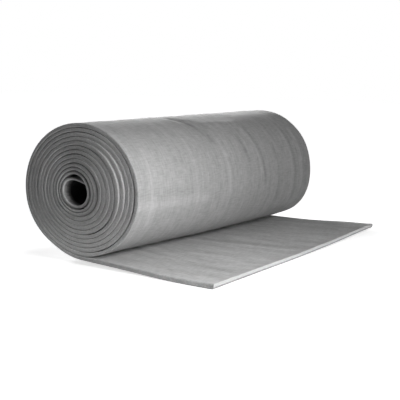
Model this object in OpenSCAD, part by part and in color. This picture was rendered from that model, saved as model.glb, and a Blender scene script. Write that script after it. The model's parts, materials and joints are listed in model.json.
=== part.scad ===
// Foam insulation sheet wound into a roll, with its outer end pulled out flat along the floor.
// The roll's axis runs along Y, the free end lies towards +X and the floor is z = 0.

/* [Sheet] */
// Width of the sheet, which is the length of the roll
sheet_w = 1000; // [300:10:2000]
// Thickness of the sheet where it lies free
sheet_t = 13; // [6:0.5:25]
// How much thinner each wound turn is than the free sheet
squeeze = 0.5; // [0.2:0.1:1.5]

/* [Roll] */
// Diameter of the open bore through the middle of the roll
bore_d = 90; // [60:1:200]
// Turns of the sheet between the bore and the outside
turns = 12; // [4:1:30]
// Length of sheet pulled out flat, from under the roll's axis to its cut end
tail_len = 435; // [300:5:900]
// How far before the bottom of the bore the sheet's inner end stops, in degrees
inner_end_angle = 70; // [20:1:80]

/* [Edges] */
// Width of the softened corner along both long edges of the sheet
edge_w = 1.2; // [0.5:0.1:2]
// Depth of the softened corner, which makes the line between two turns on the roll's ends
edge_depth = 3; // [1:0.5:8]

/* [Hidden] */
// Distance from one turn to the next
pitch = sheet_t - squeeze;
bore_r = bore_d / 2;
outer_r = bore_r + turns * pitch;
// The half with the free end is wound about a centre half a pitch higher, so every turn
// comes round to lie on the turn before it
far_half_r = outer_r - pitch / 2;
far_half_z = outer_r + pitch / 2;
// The part's origin is at the middle of its footprint
roll_x = (outer_r - max(tail_len, far_half_r)) / 2;
half_w = sheet_w / 2;
cut_overrun = 1;
cut_w = sheet_w + 2 * cut_overrun;
$fn = 96;

// One end of the wound turns from the outside in, as [radius, distance along the axis]:
// each turn is flat on its edge, with a softened corner on both sides
function turn_edges(outer) = concat(
    [for (k = [0 : turns]) each let (r = outer - k * pitch) [
        [r, half_w - edge_depth],
        [r - edge_w, half_w],
        [r - pitch + edge_w, half_w]
    ]],
    [[outer - (turns + 1) * pitch, half_w - edge_depth]]
);

function mirrored(points) = [for (i = [len(points) - 1 : -1 : 0]) [points[i][0], -points[i][1]]];

// Half a revolution of the turns about an axis at height axis_z, from start degrees on
module wound_half(outer, axis_z, start) {
    edges = turn_edges(outer);
    translate([0, 0, axis_z])
        rotate([90, 0, 0])
            rotate([0, 0, start])
                rotate_extrude(angle = 180)
                    polygon(concat(edges, mirrored(edges)));
}

// The flat end of the sheet, with the same softened corners along its two long edges
module tail() {
    side = [
        [half_w - edge_depth, 0],
        [half_w, edge_w],
        [half_w, sheet_t - edge_w],
        [half_w - edge_depth, sheet_t]
    ];
    other_side = [for (i = [len(side) - 1 : -1 : 0]) [-side[i][0], side[i][1]]];
    rotate([90, 0, 90])
        linear_extrude(tail_len)
            polygon(concat(side, other_side));
}

module bore() {
    translate([0, half_w + cut_overrun, outer_r])
        rotate([90, 0, 0])
            cylinder(r = bore_r, h = cut_w);
}

// The stretch of the bore past the sheet's inner end, where the turn outside it is bare
module bare_turn() {
    translate([0, 0, far_half_z])
        rotate([90, 0, 0])
            rotate([0, 0, -90])
                rotate_extrude(angle = inner_end_angle)
                    translate([0, -cut_w / 2])
                        square([bore_r + pitch / 2, cut_w]);
}

module foam_roll() {
    color("darkgray")
        translate([roll_x, 0, 0])
            difference() {
                union() {
                    wound_half(outer_r, outer_r, 90);
                    wound_half(far_half_r, far_half_z, -90);
                    tail();
                }
                bore();
                bare_turn();
            }
}

foam_roll();
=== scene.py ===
import json
import math

import bmesh
import bpy
import numpy as np
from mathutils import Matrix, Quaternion, Vector


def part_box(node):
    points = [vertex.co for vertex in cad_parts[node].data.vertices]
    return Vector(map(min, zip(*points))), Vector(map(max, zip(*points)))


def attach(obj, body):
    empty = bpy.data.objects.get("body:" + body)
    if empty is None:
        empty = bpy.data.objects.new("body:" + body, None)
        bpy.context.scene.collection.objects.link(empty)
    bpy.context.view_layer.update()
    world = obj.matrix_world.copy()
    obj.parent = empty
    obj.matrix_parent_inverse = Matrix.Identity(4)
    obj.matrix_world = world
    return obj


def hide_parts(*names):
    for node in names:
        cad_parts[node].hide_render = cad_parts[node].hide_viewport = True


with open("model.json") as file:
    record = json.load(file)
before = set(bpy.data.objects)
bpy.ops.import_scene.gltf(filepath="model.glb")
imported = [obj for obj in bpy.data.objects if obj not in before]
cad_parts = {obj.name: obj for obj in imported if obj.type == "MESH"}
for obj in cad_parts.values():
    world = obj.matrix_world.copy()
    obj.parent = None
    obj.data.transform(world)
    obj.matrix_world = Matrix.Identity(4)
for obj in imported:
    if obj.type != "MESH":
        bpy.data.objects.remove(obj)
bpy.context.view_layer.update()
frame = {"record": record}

# A wide sheet of soft grey foam, wound into a roll with its outer end pulled out flat.
# Lengths are in metres. The roll's axis runs along Y, the near end is at -Y, and the
# free end of the sheet lies towards +X.
# A place along the wound sheet is given by its wind: the angle back from the point under
# the roll where the outermost turn becomes the flat free end.

# The roll as the CAD part has it
LOW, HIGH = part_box("foam_roll")
BORE = next(mount for mount in frame["record"]["mounts"] if mount["name"] == "bore")
AXIS_X = BORE["pos_m"][0]
ROLL_R = BORE["pos_m"][2]
BORE_R = BORE["dims"]["r_mm"] / 1000
WIDTH = HIGH.y - LOW.y
TAIL_LEN = HIGH.x - AXIS_X
TURNS = 12
SHEET_T = 0.013
PITCH = (ROLL_R - BORE_R) / TURNS
TURN = 2 * math.pi
# The outer face of the sheet is a spiral about a point just above the middle of the bore
SPIRAL_R = ROLL_R + PITCH / 4
# The innermost turns are squeezed more and more, from this turn on
CORE_FROM_TURN = 9.0
CORE_SQUEEZE = 0.0008
# On one side the innermost turn stands off the turn outside it: wind, half width and distance
DRAWN_IN_WIND = math.radians(11 * 360 + 270)
DRAWN_IN_HALF_WIDTH = math.radians(60)
DRAWN_IN = 0.0045

# Material slots of the sheet's faces
OUTER_SKIN, INNER_SKIN, SLIT_EDGE, CUT_END, BORE_PAINTED_SHADE = range(5)
# How far from its inner end the sheet's inner face lines the bore, where it takes the bore's
# painted shade
BORE_SKIN_LENGTH = 0.45

# How finely the sheet is divided along its length and across its width
INNER_STEPS_PER_TURN = 56
OUTER_STEPS = 186
TAIL_STEPS = 56
FLAP_STEPS = 14
FACE_STEPS = 132
# The finely divided stretch starts this far under the outermost turn
FINE_OVERLAP = math.radians(12)
# Before it, only these rows of a face are kept: the ones at each edge, and every so many between
KEPT_EDGE_ROWS = 3
COARSE_EVERY = 22
# Second and third row of a face, as distances from its edge
SECOND_ROW, THIRD_ROW = 0.004, 0.011

# Rounding of the sheet's long edges and of its cut end, towards its outer and its inner face
OUTER_EDGE_R = 0.0022
INNER_EDGE_R = 0.0026
OUTER_CUT_R = 0.0065
INNER_CUT_R = 0.0009
# Points of a long edge: angles round each corner, and heights between the corners as shares
# of half the thickness
CORNER_ANGLES = [math.radians(angle) for angle in (30, 60, 90)]
SIDE_SHARES = [0.25, -0.40]
# The last stretch of the free end has stations of its own, as distances back from the cut
CUT_ZONE = 0.010
CUT_STEPS = [0.0065, 0.0045, 0.0028, 0.0016, 0.0008, 0.0003, 0.0]
# The free end has its full thickness from this far along it, and swells a little at its cut
FULL_THICKNESS_AT = 0.05
CUT_SWELL = 0.0018
CUT_SWELL_LENGTH = 0.03

# Air between a turn and the turn inside it, which swings as two waves along the wind, each
# given as its rate and its start
GAP_MEAN = 0.0007
GAP_SWING = 0.0005
GAP_WAVES = ((0.37, 0.8), (1.13, 2.1))
# Looser places as wind in degrees, half width in degrees and extra air
LOOSE_PLACES = [
    (90, 34, 0.0017),
    (128, 20, 0.0010),
    (190, 24, 0.0012),
    (278, 36, 0.0021),
    (335, 20, 0.0012),
    (1 * 360 + 180, 30, 0.0013),
    (2 * 360 + 355, 30, 0.0008),
    (3 * 360 + 90, 35, 0.0012),
    (4 * 360 + 185, 40, 0.0012),
    (4 * 360 + 320, 36, 0.0021),
    (5 * 360 + 90, 40, 0.0014),
    (5 * 360 + 180, 40, 0.0010),
    (6 * 360 + 185, 45, 0.0017),
    (6 * 360 + 85, 50, 0.0010),
    (7 * 360 + 95, 50, 0.0013),
    (8 * 360 + 90, 55, 0.0020),
    (8 * 360 + 180, 45, 0.0011),
    (8 * 360 + 270, 45, 0.0015),
    (9 * 360 + 110, 80, 0.0022),
    (10 * 360 + 120, 105, 0.0024),
    (10 * 360 + 350, 90, 0.0014),
    (11 * 360 + 45, 100, 0.0028),
    (11 * 360 + 270, 60, 0.0045),
]

# On one side of the roll the core stands out of the near end in two steps, given as wind in
# degrees and height
STEPS_OUT = [
    (3 * 360 + 45, 0.0060),
    (4 * 360 + 45, 0.0055),
]
# A step is this gradual along the wind, and shows round this angle of the roll
STEP_SPREAD = math.radians(60)
STEP_SIDE = math.radians(27)
STEP_HALF_WIDTH = math.radians(100)
# The sheet's edges also wander a little, as two waves along the wind
EDGE_WANDER = 0.0007
EDGE_WAVES = ((0.83, 0.4), (0.31, 0.0))

# The sheet's inner end leaves the innermost turn here and hangs across the bore. Its curve is
# pulled straight on at first, and its bend and tip are given from the middle of the bore
FLAP_ROOT_WIND = math.radians(12 * 360 + 120)
FLAP_PULL = 0.020
FLAP_BEND = (-0.0050, 0.0400)
FLAP_TIP = (0.0425, 0.0130)
FLAP_TIP_T = 0.0060
# How far the tip is pushed back from the near end
FLAP_RECESS = 0.020

# Soft changes of shape at the near end, which fade out towards the far end.
# The bore is drawn to one side and the core under it is lifted
BORE_DRIFT = 0.0165
CORE_LIFT = 0.0012
# Shares by which the roll is wider and lower there
NEAR_WIDEN = 0.036
NEAR_SAG = 0.0190
# Its underside lifts off the floor: height, share of the way to the near end from which it
# does so, and distance from the cut end at which the free end lies flat again
NEAR_LIFT = 0.0112
NEAR_LIFT_FROM = 0.35
NEAR_LIFT_END = 0.06
# It is a little flat at this angle
FLAT_ANGLE = math.radians(240)
FLAT_HALF_WIDTH = math.radians(50)
FLAT_DEPTH = 0.0064

# Soft changes of shape at the far end: shares by which the roll is higher and narrower there
FAR_RISE = 0.0140
FAR_NARROW = 0.014
# Bulges (+) and dents (-) there, as angle and half width in degrees and height
FAR_BULGES = [
    (325, 30, 0.0160),
    (54, 20, -0.0035),
]
# The far rim of the outermost turn curls in
FAR_CURL = 0.0040
FAR_CURL_WIDTH = 0.045
# Up to the first height above the floor the sheet isn't widened, sagged, raised or bulged, and
# from the second height on it is so in full
STILL_TO, MOVED_FROM = 0.012, 0.06

# Ridges (+) and creases (-) on the outermost turn: angle in degrees and place along the
# axis of both ends, height, half width, and how much paler (+) or darker (-) the skin is
# painted, as painted highlight on the ridges and painted shade in the creases. The last three
# are wrinkles too fine for the mesh, so only their painted highlight shows them
CREASES = [
    (40, -0.428, -24, -0.434, 0.0012, 0.008, 0.18),
    (80, -0.130, 66, -0.094, -0.0040, 0.013, -0.28),
    (79, -0.172, 73, -0.142, 0.0012, 0.009, 0.30),
    (66, -0.094, 42, -0.076, -0.0026, 0.015, -0.20),
    (70, -0.064, 55, -0.024, -0.0024, 0.010, -0.12),
    (40, -0.046, -8, -0.040, 0.0014, 0.011, 0.14),
    (52, 0.136, 5, 0.153, 0.0014, 0.010, 0.13),
    (53, 0.160, -5, 0.177, -0.0014, 0.010, -0.18),
    (40, 0.082, 18, 0.090, -0.0012, 0.009, -0.12),
    (28, 0.262, -25, 0.272, -0.0014, 0.010, -0.12),
    (45, 0.355, -30, 0.362, 0.0012, 0.012, 0.10),
    (45, 0.385, -28, 0.392, -0.0016, 0.010, -0.14),
    (45, 0.428, -20, 0.434, 0.0012, 0.009, 0.08),
    (40, 0.455, -15, 0.460, -0.0014, 0.009, -0.12),
    (63, -0.046, 61, 0.150, 0.0030, 0.016, -0.04),
    (-8, -0.490, -10, -0.160, 0.0010, 0.014, 0.13),
    (2, -0.490, 0, -0.250, -0.0008, 0.012, -0.08),
    (74, -0.046, 69, 0.130, 0.0, 0.018, 0.28),
    (68, 0.090, 72, 0.240, 0.0, 0.022, 0.30),
    (75, 0.230, 71, 0.385, 0.0, 0.027, 0.38),
]
# Broad waves there: height, two rates along the axis, and how far and how often the first
# of them bends round the roll
BROAD_WAVE = 0.0008
BROAD_RATES = (41, 17)
BROAD_BEND = 1.2
BROAD_BENDS = 2
# Creases fade out towards the floor and towards the line where the roll lies on the free end
FLOOR_FADE = math.radians(35)
NIP_FADE = math.radians(20)
# They are full from this height in the section on, as a share of half its thickness
CREASE_FULL_AT = 0.9

# Streaks on top of the free end: both ends as distance along it and place along the axis,
# half width, and how much paler (+) or darker (-) the skin is. The last one, pale along the
# near edge, is a painted highlight
TAIL_STREAKS = [
    (0.04, -0.310, 0.43, -0.366, 0.015, -0.12),
    (0.02, -0.048, 0.17, -0.030, 0.014, -0.09),
    (0.17, -0.030, 0.43, 0.026, 0.017, -0.11),
    (0.06, -0.082, 0.40, -0.026, 0.013, 0.12),
    (0.25, 0.070, 0.43, 0.120, 0.018, -0.07),
    (0.30, 0.300, 0.43, 0.330, 0.030, -0.07),
    (0.03, -0.488, 0.43, -0.498, 0.016, 0.13),
]
# Faint waves in the free end: height, distance at which they start, rates along and across
# it, and how far and how fast they bend
TAIL_WAVE = 0.0010
TAIL_WAVE_FROM = 0.16
TAIL_RATE_ALONG, TAIL_RATE_ACROSS = 21, 9
TAIL_BEND, TAIL_BEND_RATE = 1.5, 7
# At the cut end the far corner lifts off the floor, over this length, and the near one flares
CORNER_LIFT = 0.010
CORNER_LIFT_LENGTH = 0.30
NEAR_FLARE = 0.014
# The cut runs a little out of square
CUT_SKEW = 0.0110

# The free end's long edges are painted darker than those of the wound turns, as painted shade,
# by this share
TAIL_EDGE_SHADE = 0.20
# Round the bore, from one turn to another, the sheet's long edges are painted darker towards
# the outer face, as painted shade of the gaps between turns, and paler towards the inner one,
# as painted highlight, by these shares
CORE_LINES_FROM, CORE_LINES_FULL = 8.6, 10.0
CORE_GAP_SHADE, CORE_CORNER_HIGHLIGHT = 0.60, 0.24
# Width over which the painted shade and highlight of the long edges fade out into the faces
EDGE_SHADE_WIDTH = 0.003


# Curves that the shapes are made of

def smooth(low, high, value):
    """0 up to low, rising softly to 1 at high."""
    share = np.clip((value - low) / (high - low), 0, 1)
    return share * share * (3 - 2 * share)


def bell(value):
    """1 at 0, falling softly away on both sides."""
    return np.exp(-value * value)


def hump(value):
    """1 at 0, falling softly to 0 at 1 and -1."""
    return np.cos(np.clip(np.abs(value), 0, 1) * math.pi / 2) ** 2


def beat(value, waves):
    """Two sine waves multiplied, each given as its rate and its start."""
    (rate_a, start_a), (rate_b, start_b) = waves
    return np.sin(rate_a * value + start_a) * np.sin(rate_b * value + start_b)


def wrapped(angle):
    """The same angle between half a turn back and half a turn on."""
    return (angle + math.pi) % TURN - math.pi


def roll_angle(wind):
    """Angle round the roll's axis at a wind, counted from +X towards the top."""
    return -math.pi / 2 - wind


# The line that the middle of the sheet follows, from its inner end to its cut end

def gap_under(wind):
    gap = GAP_MEAN + GAP_SWING * beat(wind, GAP_WAVES)
    for centre, half_width, extra in LOOSE_PLACES:
        gap = gap + extra * bell((wind - math.radians(centre)) / math.radians(half_width))
    return gap


def edge_shift(wind):
    """How far each station of the sheet is pushed along the roll's axis."""
    shift = EDGE_WANDER * beat(wind, EDGE_WAVES)
    lean = hump(wrapped(roll_angle(wind) - STEP_SIDE) / STEP_HALF_WIDTH)
    for centre, height in STEPS_OUT:
        middle = math.radians(centre)
        inside = smooth(middle - STEP_SPREAD, middle + STEP_SPREAD, wind)
        shift = shift + lean * height * (0.5 - inside)
    return shift


def turn_pitch(wind):
    return PITCH - CORE_SQUEEZE * np.maximum(wind / TURN - CORE_FROM_TURN, 0)


def spiral(wind, depth):
    """Points of the spiral, at a depth under the sheet's outer face."""
    squeezed = CORE_SQUEEZE / 2 * np.maximum(wind / TURN - CORE_FROM_TURN, 0) ** 2
    drawn_in = DRAWN_IN * bell((wind - DRAWN_IN_WIND) / DRAWN_IN_HALF_WIDTH)
    radius = SPIRAL_R - PITCH * wind / TURN + squeezed - drawn_in - depth
    angle = roll_angle(wind)
    return np.stack([AXIS_X + radius * np.cos(angle), SPIRAL_R + radius * np.sin(angle)], axis=-1)


def wound_stations():
    """Wind of every station of the wound sheet, and how many are in the coarsely divided stretch."""
    fine_from = TURN + FINE_OVERLAP
    coarse_count = round((FLAP_ROOT_WIND - fine_from) / TURN * INNER_STEPS_PER_TURN)
    coarse = np.linspace(FLAP_ROOT_WIND, fine_from, coarse_count, endpoint=False)
    fine = np.linspace(fine_from, 0, OUTER_STEPS)
    return np.concatenate([coarse, fine]), coarse_count


def flap():
    """The loose inner end as a smooth curve from its tip to where it joins the innermost turn."""
    thickness = turn_pitch(FLAP_ROOT_WIND) - gap_under(FLAP_ROOT_WIND)
    root = spiral(FLAP_ROOT_WIND, thickness / 2)
    angle = roll_angle(FLAP_ROOT_WIND)
    inwards = np.array([math.sin(angle), -math.cos(angle)])
    pulled = root + FLAP_PULL * inwards
    bore_middle = np.array([AXIS_X, ROLL_R])
    bend = bore_middle + FLAP_BEND
    tip = bore_middle + FLAP_TIP
    share = np.linspace(0, 1, FLAP_STEPS, endpoint=False)[:, None]
    rest = 1 - share
    return rest**3 * tip + 3 * rest**2 * share * bend + 3 * rest * share**2 * pulled + share**3 * root


def tail_places():
    """Distances along the free end, closer together where its cut edge is rounded."""
    flat = np.linspace(0, TAIL_LEN - CUT_ZONE, TAIL_STEPS)[1:]
    return np.concatenate([flat, TAIL_LEN - np.array(CUT_STEPS)])


def free_thickness(along, wound_thickness):
    """Thickness of the free end, from that of the wound sheet to its swollen cut end."""
    full = smooth(0, FULL_THICKNESS_AT, along)
    swollen = CUT_SWELL * smooth(TAIL_LEN - CUT_SWELL_LENGTH, TAIL_LEN, along)
    return wound_thickness + (SHEET_T - wound_thickness) * full + swollen


def rounded_off(along, radius):
    """How far a face of the sheet draws in where the corner of its cut end is rounded."""
    share = np.clip((along - TAIL_LEN + radius) / radius, 0, 1)
    return radius * (1 - np.sqrt(1 - share**2))


def outward(line):
    """Direction from the inner to the outer face of the sheet at every station."""
    run = np.gradient(line, axis=0)
    run /= np.linalg.norm(run, axis=1)[:, None]
    return np.stack([run[:, 1], -run[:, 0]], axis=-1)


def sheet_line():
    """Middle line and what goes with it at every station along the sheet.

    The results are the line, the direction to the outer face, the thickness, the shift along
    the axis, the wind, and the first station of the finely divided stretch.
    """
    wind, coarse_count = wound_stations()
    thickness = turn_pitch(wind) - gap_under(wind)
    inner_end = flap()
    to_tip = np.linspace(1, 0, len(inner_end), endpoint=False)
    flap_thickness = thickness[0] + (FLAP_TIP_T - thickness[0]) * to_tip
    along = tail_places()
    tail_thickness = free_thickness(along, thickness[-1])
    lying = np.stack([AXIS_X + along, tail_thickness / 2], axis=-1)
    line = np.concatenate([inner_end, spiral(wind, thickness / 2), lying])
    normal = outward(line)

    from_below = rounded_off(along, OUTER_CUT_R)
    from_above = rounded_off(along, INNER_CUT_R)
    tail_thickness = tail_thickness - from_below - from_above
    line[-len(along):, 1] += (from_below - from_above) / 2

    all_wind = np.concatenate([np.full(len(inner_end), wind[0]), wind, np.zeros(len(along))])
    all_thickness = np.concatenate([flap_thickness, thickness, tail_thickness])
    shift = edge_shift(all_wind)
    shift[:len(inner_end)] += FLAP_RECESS * to_tip
    fine_from = len(inner_end) + coarse_count
    return line, normal, all_thickness, shift, all_wind, fine_from


# The sheet's cross-section, a flat ring with rounded corners

def face_places():
    """Rows of a face, as places across the sheet."""
    inset = WIDTH / 2 - OUTER_EDGE_R
    middle = np.linspace(-inset + THIRD_ROW, inset - THIRD_ROW, FACE_STEPS)
    return np.concatenate([[-inset, -inset + SECOND_ROW], middle, [inset - SECOND_ROW, inset]])


def corner_point(radius, angle, side):
    drop = radius * (1 - math.cos(angle)) / (SHEET_T / 2)
    return WIDTH / 2 - radius * (1 - math.sin(angle)), side * (1 - drop)


def section_ring():
    """Points of the ring as place across the sheet and height as a share of half its thickness.

    The ring starts on the outer face at the near edge. The last two results say how many
    points each face has and which points the coarse stretch uses.
    """
    places = face_places()
    far_edge = [corner_point(OUTER_EDGE_R, angle, 1) for angle in CORNER_ANGLES]
    far_edge += [(WIDTH / 2, share) for share in SIDE_SHARES]
    far_edge += [corner_point(INNER_EDGE_R, angle, -1) for angle in reversed(CORNER_ANGLES)]
    outer_face = [(y, 1) for y in places]
    inner_face = [(y, -1) for y in places[::-1]]
    near_edge = [(-y, share) for y, share in reversed(far_edge)]
    ring = np.array(outer_face + far_edge + inner_face + near_edge)

    count = len(places)
    row = np.arange(count)
    at_edge = (row < KEPT_EDGE_ROWS) | (row >= count - KEPT_EDGE_ROWS)
    keep_face = at_edge | (row % COARSE_EVERY == 0)
    keep_edge = np.ones(len(far_edge), bool)
    keep = np.concatenate([keep_face, keep_edge, keep_face[::-1], keep_edge])
    return ring, count, np.flatnonzero(keep)


def ring_distance(ring):
    """How far round the section each ring point is, with the way back to the first at the end."""
    flat = ring * [1, SHEET_T / 2]
    steps = np.linalg.norm(np.roll(flat, -1, axis=0) - flat, axis=1)
    return np.concatenate([[0], np.cumsum(steps)])


# Soft changes of shape, and painted shade and highlight

def near_line(u, v, start, end, half_width):
    """1 on the line from start to end, falling softly to 0 away from it."""
    run = np.subtract(end, start)
    across = np.stack([u - start[0], v - start[1]], axis=-1)
    share = np.clip(across @ run / (run @ run), 0, 1)
    return bell(np.linalg.norm(across - share[..., None] * run, axis=-1) / half_width)


def broad_waves(angle, y):
    first, second = BROAD_RATES
    bent = BROAD_BEND * np.sin(BROAD_BENDS * angle)
    return BROAD_WAVE * np.sin(first * y + bent) * np.sin(second * y + angle)


def crease_shape(angle, y):
    """Height of the ridges and creases on the outermost turn, with its curled far rim, and the tone
    that paints their highlight and shade.
    """
    to_rim = np.clip((y - WIDTH / 2) / FAR_CURL_WIDTH + 1, 0, 1)
    height = broad_waves(angle, y) - FAR_CURL * to_rim**2
    tone = np.zeros_like(height)
    for angle_a, y_a, angle_b, y_b, rise, half_width, paler in CREASES:
        start = (math.radians(angle_a) * ROLL_R, y_a)
        end = (math.radians(angle_b) * ROLL_R, y_b)
        near = near_line(angle * ROLL_R, y, start, end, half_width)
        height = height + rise * near
        tone = tone + paler * near
    return height, tone


def on_edge(ring):
    """1 on the sheet's long edges and 0 on its faces."""
    return smooth(WIDTH / 2 - EDGE_SHADE_WIDTH, WIDTH / 2, np.abs(ring[:, 0]))


def tail_tone(along, y, ring):
    """Tone of the free end's streaks, one of them a painted highlight along its near edge, and the
    painted shade of its long edges.
    """
    tone = -TAIL_EDGE_SHADE * on_edge(ring)
    for along_a, y_a, along_b, y_b, half_width, paler in TAIL_STREAKS:
        tone = tone + paler * near_line(along, y, (along_a, y_a), (along_b, y_b), half_width)
    return tone


def core_painted_light(wind, ring):
    """Painted shade and highlight of the sheet's long edges round the bore."""
    near_bore = smooth(CORE_LINES_FROM, CORE_LINES_FULL, wind / TURN)
    height = ring[:, 1]
    change = np.where(height > 0, -CORE_GAP_SHADE * height, -CORE_CORNER_HIGHLIGHT * height)
    return near_bore[:, None] * on_edge(ring) * change


def out_of_round(angle, near, wound):
    """How far the roll stands out, or in at its flat place, at an angle round its axis."""
    flat = near * FLAT_DEPTH * hump((angle - FLAT_ANGLE) / FLAT_HALF_WIDTH)
    swell = np.zeros_like(angle)
    for centre, half_width, height in FAR_BULGES:
        off_centre = wrapped(angle - math.radians(centre))
        swell = swell + height * bell(off_centre / math.radians(half_width))
    return swell * (1 - near) * wound - flat


def lifted(x, z, near):
    """How far the roll's underside lifts off the floor at the near end."""
    along_axis = smooth(NEAR_LIFT_FROM, 1, near)
    along_tail = smooth(HIGH.x - NEAR_LIFT_END, AXIS_X, x)
    return NEAR_LIFT * along_axis * (1 - z / HIGH.z) * along_tail


def settled(points):
    """Lets the wound sheet sag a little out of round, most of all at the near end."""
    x, y, z = points[..., 0], points[..., 1], points[..., 2]
    near = np.clip((HIGH.y - y) / WIDTH, 0, 1)
    dx = x - AXIS_X
    dz = z - SPIRAL_R
    radius = np.hypot(dx, dz)
    angle = np.arctan2(dz, dx) % TURN
    wound = smooth(STILL_TO, MOVED_FROM, z)

    core = near * np.clip((ROLL_R - radius) / (ROLL_R - BORE_R), 0, 1)
    raised = CORE_LIFT * core * np.clip(-np.sin(angle), 0, 1)
    widen = dx * (NEAR_WIDEN * near - FAR_NARROW * (1 - near))
    stretch = FAR_RISE * (1 - near) - NEAR_SAG * near
    outwards = out_of_round(angle, near, wound) * (radius / ROLL_R) ** 2
    new_x = x - BORE_DRIFT * core + widen * wound + outwards * np.cos(angle)
    new_z = z * (1 + stretch * wound) + lifted(x, z, near) + raised + outwards * np.sin(angle)
    return np.stack([new_x, y, new_z], axis=-1)


def laid(points):
    """Lets the free end lie in faint waves, with its near corner flared and its far one lifted."""
    x, y, z = points[..., 0], points[..., 1], points[..., 2]
    out = smooth(AXIS_X + TAIL_WAVE_FROM, HIGH.x, x)
    bent = TAIL_BEND * np.sin(TAIL_BEND_RATE * y)
    wave = 0.5 + 0.5 * np.sin(TAIL_RATE_ACROSS * y + TAIL_RATE_ALONG * x + bent)
    corner = smooth(HIGH.x - CORNER_LIFT_LENGTH, HIGH.x, x) * smooth(0, HIGH.y, y)
    skewed = x - CUT_SKEW * (y / WIDTH) * (x - AXIS_X) / TAIL_LEN
    flared = y - NEAR_FLARE * smooth(AXIS_X, HIGH.x, x) * smooth(0, LOW.y, y)
    return np.stack([skewed, flared, z + out * TAIL_WAVE * wave + CORNER_LIFT * corner], axis=-1)


# The mesh

def sheet_points(line, normal, thickness, shift, wind, ring):
    """Points of the sheet and their tone, which holds painted shade and highlight and the free end's
    streaks, as arrays of stations by ring points.
    """
    y = shift[:, None] + ring[None, :, 0]
    angle = np.broadcast_to(wrapped(roll_angle(wind))[:, None], y.shape)
    outermost = smooth(0, FLOOR_FADE, wind) * smooth(0, NIP_FADE, TURN - wind)
    creased = outermost[:, None] * smooth(0, CREASE_FULL_AT, ring[None, :, 1])
    height, crease_tone = crease_shape(angle, y)
    rise = thickness[:, None] / 2 * ring[None, :, 1] + creased * height
    x = line[:, None, 0] + normal[:, None, 0] * rise
    z = line[:, None, 1] + normal[:, None, 1] * rise
    points = settled(np.stack([x, y, z], axis=-1))

    in_tail = wind == 0
    wound_tone = creased * crease_tone + core_painted_light(wind, ring)
    tone = np.where(in_tail[:, None], tail_tone(x - AXIS_X, y, ring), wound_tone)
    return np.where(in_tail[:, None, None], laid(points), points), tone


class Sheet:
    """Collects the faces of the sheet, with their place along and across it, as rings are joined."""

    def __init__(self):
        self.ring, self.face_count, self.coarse = section_ring()
        self.count = len(self.ring)
        edge_count = (self.count - 2 * self.face_count) // 2
        self.inner_first = self.face_count + edge_count
        self.inner_last = self.inner_first + self.face_count - 1
        self.round_section = ring_distance(self.ring)
        self.faces = []
        self.places = []
        self.slots = []

    def add(self, corners, places, slot):
        self.faces.append(corners)
        self.places.extend(places)
        self.slots.append(slot)

    def slot_at(self, mark):
        """Outer skin, inner skin or slit edge, by where a ring point lies in the section.

        The inner skin goes round the corner into the sheet's long edges.
        """
        corner = len(CORNER_ANGLES)
        if mark < self.face_count - 1:
            return OUTER_SKIN
        if self.inner_first - corner <= mark < self.inner_last + corner:
            return INNER_SKIN
        return SLIT_EDGE

    def join(self, before, after, at_before, at_after):
        """Joins a ring to the next one, which has the same points or more of them."""
        marks = list(before) + [self.count]
        after_marks = list(after) + [self.count]
        step = 0
        for a, b in zip(marks, marks[1:]):
            lower = [step]
            while after_marks[step] < b:
                step += 1
                lower.append(step)
            lower.reverse()
            corners = [before[a], before[b % self.count]]
            places = [(at_before, self.round_section[a]), (at_before, self.round_section[b])]
            for index in lower:
                mark = after_marks[index]
                corners.append(after[mark % self.count])
                places.append((at_after, self.round_section[mark]))
            slot = self.slot_at(a)
            # Where the inner skin lines the bore it takes the material with the bore's painted shade
            if slot == INNER_SKIN and at_before < BORE_SKIN_LENGTH:
                slot = BORE_PAINTED_SHADE
            self.add(corners, places, slot)

    def cap(self, ring):
        """Closes one end of the sheet with a strip of quads and a small face at each edge."""
        outer = [mark for mark in ring if mark < self.face_count]
        for a, b in zip(outer, outer[1:]):
            self.add_cap(ring, [a, b, self.inner_last - b, self.inner_last - a])
        self.add_cap(ring, list(range(self.face_count - 1, self.inner_first + 1)))
        self.add_cap(ring, list(range(self.inner_last, self.count)) + [0])

    def add_cap(self, ring, marks):
        section = self.ring[marks] * [1, SHEET_T / 2]
        self.add([ring[mark] for mark in marks], [tuple(place) for place in section], CUT_END)


def make_sheet():
    line, normal, thickness, shift, wind, fine_from = sheet_line()
    along = np.concatenate([[0], np.cumsum(np.linalg.norm(np.diff(line, axis=0), axis=1))])
    sheet = Sheet()
    points, tone = sheet_points(line, normal, thickness, shift, wind, sheet.ring)

    vertices = []
    tones = []
    rings = []
    for station in range(len(line)):
        marks = sheet.coarse if station < fine_from else range(sheet.count)
        rings.append({mark: len(vertices) + k for k, mark in enumerate(marks)})
        vertices.extend(points[station, list(marks)])
        tones.extend(tone[station, list(marks)])
    for station in range(len(line) - 1):
        sheet.join(rings[station], rings[station + 1], along[station], along[station + 1])
    sheet.cap(rings[0])
    sheet.cap(rings[-1])
    return sheet_mesh(sheet, vertices, tones)


def sheet_mesh(sheet, vertices, tones):
    mesh = bpy.data.meshes.new("foam_sheet")
    mesh.from_pydata([tuple(point) for point in vertices], [], sheet.faces)
    layer = mesh.uv_layers.new(name="along_sheet")
    layer.uv.foreach_set("vector", np.array(sheet.places, np.float32).ravel())
    mesh.attributes.new("tone", "FLOAT", "POINT").data.foreach_set("value", tones)
    mesh.polygons.foreach_set("material_index", sheet.slots)
    mesh.polygons.foreach_set("use_smooth", [slot != CUT_END for slot in sheet.slots])
    mesh.update()
    return mesh


def facing_out(mesh):
    work = bmesh.new()
    work.from_mesh(mesh)
    bmesh.ops.recalc_face_normals(work, faces=work.faces)
    work.to_mesh(mesh)
    work.free()


# Materials

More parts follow.
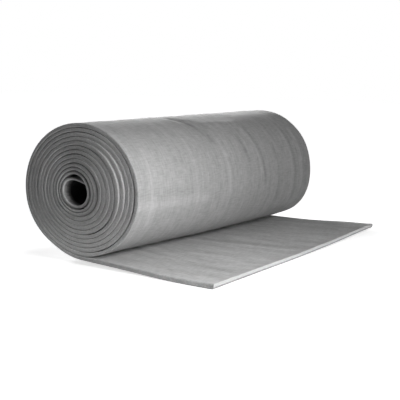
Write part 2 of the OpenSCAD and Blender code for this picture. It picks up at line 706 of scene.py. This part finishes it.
# Places on the sheet are in metres along it and round its section, and a scale says how many
# streaks, patches or strands of grain there are to the metre each way
UNSCALED = (1, 1, 1)
ROUND_STREAKS = (2.2, 42, 1)
SOFT_STREAKS = (6, 22, 1)
GRAIN_LENGTHWAYS = (34, 250, 1)
GRAIN_CROSSWAYS = (250, 34, 1)
SLIT_PATCHES = (30, 120, 1)
CUT_PATCHES = (60, 120, 1)
BLOTCHES_PER_M = 38.0
CELLS_PER_M = 420.0
# Shares of the soft blotches and of the fine grain in the skin's shade, and how far to each
# side of its mean the shade goes
MOTTLED = 0.20
GRAINED = 0.95
SHADE_SPREAD = 0.3
# Share of the open cells in the shade of a cut surface
CELL_SHARE = 0.45
# Most of what a noise gives lies in this range
NOISE_RANGE = (0.3, 0.7)
SKIN_ROUGHNESS = (0.72, 0.92)
CUT_ROUGHNESS = (0.80, 0.96)
CUT_GLOSS = 0.04
# Fine relief as height and strength
BLOTCH_BUMP = (0.003, 0.15)
GRAIN_BUMP = (0.0024, 0.5)
CELL_BUMP = (0.0006, 0.30)
PATCH_BUMP = (0.0015, 0.35)
OPEN_CELL_BUMP = (0.0010, 0.40)
# The bore's wall is painted darker than the rest of the skin, as painted shade, from one depth
# inside its mouth to another
BORE_PALE_TO, BORE_DARK_FROM = 0.004, 0.033


class Nodes:
    """Short ways to add nodes to one node tree."""

    def __init__(self, tree):
        self.tree = tree

    def add(self, kind, settings=None, **links):
        made = self.tree.nodes.new(kind)
        for key, value in (settings or {}).items():
            setattr(made, key, value)
        for key, value in links.items():
            self.put(made.inputs[key.replace("_", " ")], value)
        return made

    def put(self, socket, value):
        if isinstance(value, bpy.types.NodeSocket):
            self.tree.links.new(value, socket)
        else:
            socket.default_value = value

    def sheet_uv(self):
        return self.add("ShaderNodeUVMap", {"uv_map": "along_sheet"}).outputs["UV"]

    def sheet_place(self, scale):
        return self.add("ShaderNodeMapping", Vector=self.sheet_uv(), Scale=scale).outputs["Vector"]

    def tone(self):
        return self.add("ShaderNodeAttribute", {"attribute_name": "tone"}).outputs["Fac"]

    def noise(self, place, scale=1.0, detail=2.0, roughness=0.55):
        made = self.add(
            "ShaderNodeTexNoise", Vector=place, Scale=scale, Detail=detail, Roughness=roughness
        )
        return made.outputs["Fac"]

    def cells(self):
        place = self.sheet_place(UNSCALED)
        return self.add("ShaderNodeTexVoronoi", Vector=place, Scale=CELLS_PER_M).outputs["Distance"]

    def blend(self, operation, a, b):
        made = self.add("ShaderNodeMath", {"operation": operation})
        self.put(made.inputs[0], a)
        self.put(made.inputs[1], b)
        return made.outputs["Value"]

    def total(self, *parts):
        """Sum of values, each given with its share."""
        result = 0.0
        for value, share in parts:
            result = self.blend("ADD", result, self.blend("MULTIPLY", value, share))
        return result

    def vector(self, operation, a, b=(0, 0, 0)):
        made = self.add("ShaderNodeVectorMath", {"operation": operation})
        self.put(made.inputs[0], a)
        self.put(made.inputs[1], b)
        return made.outputs

    def between(self, value, low, high, start, end, curve="LINEAR"):
        made = self.add(
            "ShaderNodeMapRange", {"interpolation_type": curve},
            Value=value, From_Min=low, From_Max=high, To_Min=start, To_Max=end,
        )
        return made.outputs["Result"]

    def grey_ramp(self, value, dark, light, low, high):
        made = self.add("ShaderNodeValToRGB", Fac=value)
        first, last = made.color_ramp.elements
        first.position = low
        first.color = (dark, dark, dark, 1)
        last.position = high
        last.color = (light, light, light, 1)
        return made.outputs["Color"]

    def bump(self, height, distance, strength, before=None):
        made = self.add("ShaderNodeBump", Height=height, Distance=distance, Strength=strength)
        if before is not None:
            self.put(made.inputs["Normal"], before)
        return made.outputs["Normal"]

    def mouth_share(self):
        """1 on the sheet's inner face close to its long edges, and falling to 0 between them, where the
        bore's wall is painted dark as shade.
        """
        way_round = ring_distance(section_ring()[0])[-1]
        inner_middle = WIDTH / 2 + way_round / 2
        round_section = self.add("ShaderNodeSeparateXYZ", Vector=self.sheet_uv()).outputs["Y"]
        off_middle = self.blend("SUBTRACT", round_section, inner_middle)
        off_middle = self.blend("ABSOLUTE", off_middle, 0.0)
        return self.between(off_middle, WIDTH / 2 - BORE_DARK_FROM, WIDTH / 2 - BORE_PALE_TO, 0, 1)

    def seen_directly(self):
        """1 for rays from the camera, in mirrors or through glass, and 0 for the light itself."""
        path = self.add("ShaderNodeLightPath").outputs
        seen = self.blend("MAXIMUM", path["Is Camera Ray"], path["Is Glossy Ray"])
        return self.blend("MAXIMUM", seen, path["Is Transmission Ray"])

    def set_shader(self, colour, roughness, normal, gloss):
        inputs = self.tree.nodes["Principled BSDF"].inputs
        self.put(inputs["Base Color"], colour)
        self.put(inputs["Roughness"], roughness)
        self.put(inputs["Normal"], normal)
        self.put(inputs["Specular IOR Level"], gloss)


def new_material(name):
    material = bpy.data.materials.new(name)
    material.use_nodes = True
    return material, Nodes(material.node_tree)


def skin_material(name, dark, light, streak_scale, streaked, gloss, paints_bore_shade=False):
    """Skin of the foam: a fine crossed grain and soft blotches, with streaks along the sheet, and the
    painted shade and highlight that the tone brings.
    """
    material, nodes = new_material(name)
    streaks = nodes.noise(nodes.sheet_place(streak_scale), detail=4.0, roughness=0.6)
    blotches = nodes.noise(nodes.sheet_place(UNSCALED), scale=BLOTCHES_PER_M, detail=3.0)
    lengthways = nodes.noise(nodes.sheet_place(GRAIN_LENGTHWAYS))
    crossways = nodes.noise(nodes.sheet_place(GRAIN_CROSSWAYS))
    grain = nodes.total((lengthways, 0.5), (crossways, 0.5))

    # The tone adds painted shade and highlight to the skin's shade
    shade = nodes.total((streaks, streaked), (blotches, MOTTLED), (grain, GRAINED), (nodes.tone(), 1.0))
    mean = (streaked + MOTTLED + GRAINED) / 2
    shade = nodes.between(shade, mean - SHADE_SPREAD, mean + SHADE_SPREAD, 0, 1)
    # On the bore's wall, shade is painted into the colour: dark away from its mouths
    if paints_bore_shade:
        shade = nodes.blend("MULTIPLY", shade, nodes.mouth_share())
    colour = nodes.grey_ramp(shade, dark, light, 0.0, 1.0)
    roughness = nodes.between(grain, *NOISE_RANGE, *SKIN_ROUGHNESS)
    soft = nodes.bump(blotches, *BLOTCH_BUMP)
    fine = nodes.bump(grain, *GRAIN_BUMP, before=soft)
    nodes.set_shader(colour, roughness, nodes.bump(nodes.cells(), *CELL_BUMP, before=fine), gloss)
    return material


def cut_material(name, dark, light, patch_scale, long_edge=False):
    """Foam cut open, so that its cells show. The sheet's long edges also have a tone, which paints
    shade and highlight on them, and are wavy.
    """
    material, nodes = new_material(name)
    cells = nodes.cells()
    patches = nodes.noise(nodes.sheet_place(patch_scale), detail=3.0)
    shade = nodes.total((cells, CELL_SHARE), (patches, 1 - CELL_SHARE))
    colour = nodes.grey_ramp(shade, dark, light, *NOISE_RANGE)
    wavy = None
    if long_edge:
        colour = nodes.blend("MULTIPLY", colour, nodes.blend("ADD", nodes.tone(), 1.0))
        wavy = nodes.bump(patches, *PATCH_BUMP)
    roughness = nodes.between(patches, *NOISE_RANGE, *CUT_ROUGHNESS)
    nodes.set_shader(colour, roughness, nodes.bump(cells, *OPEN_CELL_BUMP, before=wavy), CUT_GLOSS)
    return material


def sheet_materials():
    """Material of every slot. The two levels that each is given are its darkest and palest grey."""
    # The inner skin's greys are paler than the outer skin's, partly as painted light that stands for
    # the light on top of the free end
    inner = {"light": 0.73, "streak_scale": SOFT_STREAKS, "streaked": 0.55, "gloss": 0.05}
    return {
        OUTER_SKIN: skin_material(
            "foam_outer_skin", 0.29, 0.57, streak_scale=ROUND_STREAKS, streaked=0.50, gloss=0.25
        ),
        INNER_SKIN: skin_material("foam_inner_skin", 0.37, **inner),
        SLIT_EDGE: cut_material("foam_slit_edge", 0.36, 0.55, SLIT_PATCHES, long_edge=True),
        CUT_END: cut_material("foam_cut_end", 0.62, 0.74, CUT_PATCHES),
        # The bore's wall: the inner skin with painted shade, nearly black away from its mouths
        BORE_PAINTED_SHADE: skin_material("foam_bore_skin", 0.035, **inner, paints_bore_shade=True),
    }


# The object

def make_roll():
    mesh = make_sheet()
    facing_out(mesh)
    materials = sheet_materials()
    for slot in sorted(materials):
        mesh.materials.append(materials[slot])
    piece = bpy.data.objects.new("foam_sheet_roll", mesh)
    bpy.context.scene.collection.objects.link(piece)
    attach(piece, "root")
    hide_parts("foam_roll")


# Floor, light and camera

FLOOR_SIZE = 30.0
FLOOR_COLOUR = 0.88
# How bright the floor looks in the object's shadow, and how far from the object it is all white
FLOOR_GLOW = 0.64
SHADOW_REACH = 0.15
# How strongly the world lights the object from all sides
FILL_LEVEL = 0.05
# Lamps as place, what they point at, width, height, power in watts and beam angle in degrees
LAMPS = {
    "key": ((0.70, -0.62, 0.45), (0.0, -0.35, 0.15), 0.3, 0.3, 3.2, 180),
    "front": ((1.4, -0.85, 0.80), (0.0, -0.30, 0.10), 0.5, 0.5, 6.8, 180),
    "back": ((-1.3, 0.3, 0.90), (-0.12, 0.1, 0.39), 1.2, 0.3, 3.7, 50),
    "rim": ((-0.85, 0.22, 0.70), (-0.135, 0.1, 0.385), 1.2, 0.05, 0.36, 10),
    "top": ((0.30, 0.0, 1.8), (0.2, 0.0, 0.0), 1.0, 1.0, 1.9, 180),
    "cut_end": ((0.75, 0.12, 0.12), (0.33, 0.12, 0.0), 0.8, 0.06, 0.12, 35),
    "near_end": ((-0.08, -1.0, 0.12), (-0.08, -0.52, 0.0), 0.7, 0.06, 0.06, 35),
}

CAMERA_AZIMUTH = math.radians(33.6)
CAMERA_ELEVATION = math.radians(8.27)
CAMERA_DISTANCE = 2.654
CAMERA_TARGET = Vector((-0.0646, 0.0, 0.1264))
CAMERA_ROLL = math.radians(0.91)
CAMERA_LENS = 76.1
SENSOR = 36.0


def make_world():
    """A world that looks white but gives only a little light."""
    world = bpy.data.worlds.new("studio")
    bpy.context.scene.world = world
    world.use_nodes = True
    nodes = Nodes(world.node_tree)
    background = world.node_tree.nodes["Background"].inputs
    nodes.put(background["Color"], (1, 1, 1, 1))
    nodes.put(background["Strength"], nodes.between(nodes.seen_directly(), 0, 1, FILL_LEVEL, 1.0))


def outside_footprint(nodes):
    """Distance on the floor from the rectangle that the object covers."""
    away = nodes.add("ShaderNodeTexCoord").outputs["Object"]
    away = nodes.vector("ABSOLUTE", away)["Vector"]
    away = nodes.vector("SUBTRACT", away, (HIGH.x, HIGH.y, 0))["Vector"]
    away = nodes.vector("MAXIMUM", away)["Vector"]
    return nodes.vector("LENGTH", away)["Value"]


def floor_material():
    """A pale matt floor with a glow that only the eye sees, which makes it white round the object."""
    material, nodes = new_material("pale_floor")
    nodes.tree.nodes.clear()
    matt = nodes.add("ShaderNodeBsdfDiffuse", Color=(FLOOR_COLOUR, FLOOR_COLOUR, FLOOR_COLOUR, 1))
    distance = outside_footprint(nodes)
    level = nodes.between(distance, 0.0, SHADOW_REACH, FLOOR_GLOW, 1.0, curve="SMOOTHSTEP")
    strength = nodes.blend("MULTIPLY", nodes.seen_directly(), level)
    glow = nodes.add("ShaderNodeEmission", Strength=strength)
    both = nodes.add("ShaderNodeAddShader")
    nodes.put(both.inputs[0], matt.outputs["BSDF"])
    nodes.put(both.inputs[1], glow.outputs["Emission"])
    nodes.add("ShaderNodeOutputMaterial", Surface=both.outputs["Shader"])
    return material


def make_floor():
    half = FLOOR_SIZE / 2
    mesh = bpy.data.meshes.new("floor")
    corners = [(-half, -half, 0), (half, -half, 0), (half, half, 0), (-half, half, 0)]
    mesh.from_pydata(corners, [], [(0, 1, 2, 3)])
    mesh.materials.append(floor_material())
    floor = bpy.data.objects.new("floor", mesh)
    bpy.context.scene.collection.objects.link(floor)


def make_lamps():
    for name, (place, aim, width, height, watts, beam) in LAMPS.items():
        data = bpy.data.lights.new(name, "AREA")
        data.shape = "RECTANGLE"
        data.size = width
        data.size_y = height
        data.energy = watts
        data.spread = math.radians(beam)
        lamp = bpy.data.objects.new(name, data)
        lamp.location = place
        lamp.rotation_mode = "QUATERNION"
        lamp.rotation_quaternion = (Vector(aim) - Vector(place)).to_track_quat("-Z", "Y")
        bpy.context.scene.collection.objects.link(lamp)


def make_camera():
    level = math.cos(CAMERA_ELEVATION)
    back = Vector((
        math.sin(CAMERA_AZIMUTH) * level,
        -math.cos(CAMERA_AZIMUTH) * level,
        math.sin(CAMERA_ELEVATION),
    ))
    data = bpy.data.cameras.new("camera")
    data.sensor_width = SENSOR
    data.lens = CAMERA_LENS
    camera = bpy.data.objects.new("camera", data)
    camera.location = CAMERA_TARGET + back * CAMERA_DISTANCE
    camera.rotation_mode = "QUATERNION"
    camera.rotation_quaternion = (-back).to_track_quat("-Z", "Y") @ Quaternion((0, 0, 1), CAMERA_ROLL)
    bpy.context.scene.collection.objects.link(camera)
    bpy.context.scene.camera = camera


make_roll()
make_world()
make_floor()
make_lamps()
make_camera()
bpy.context.scene.view_settings.view_transform = "Standard"
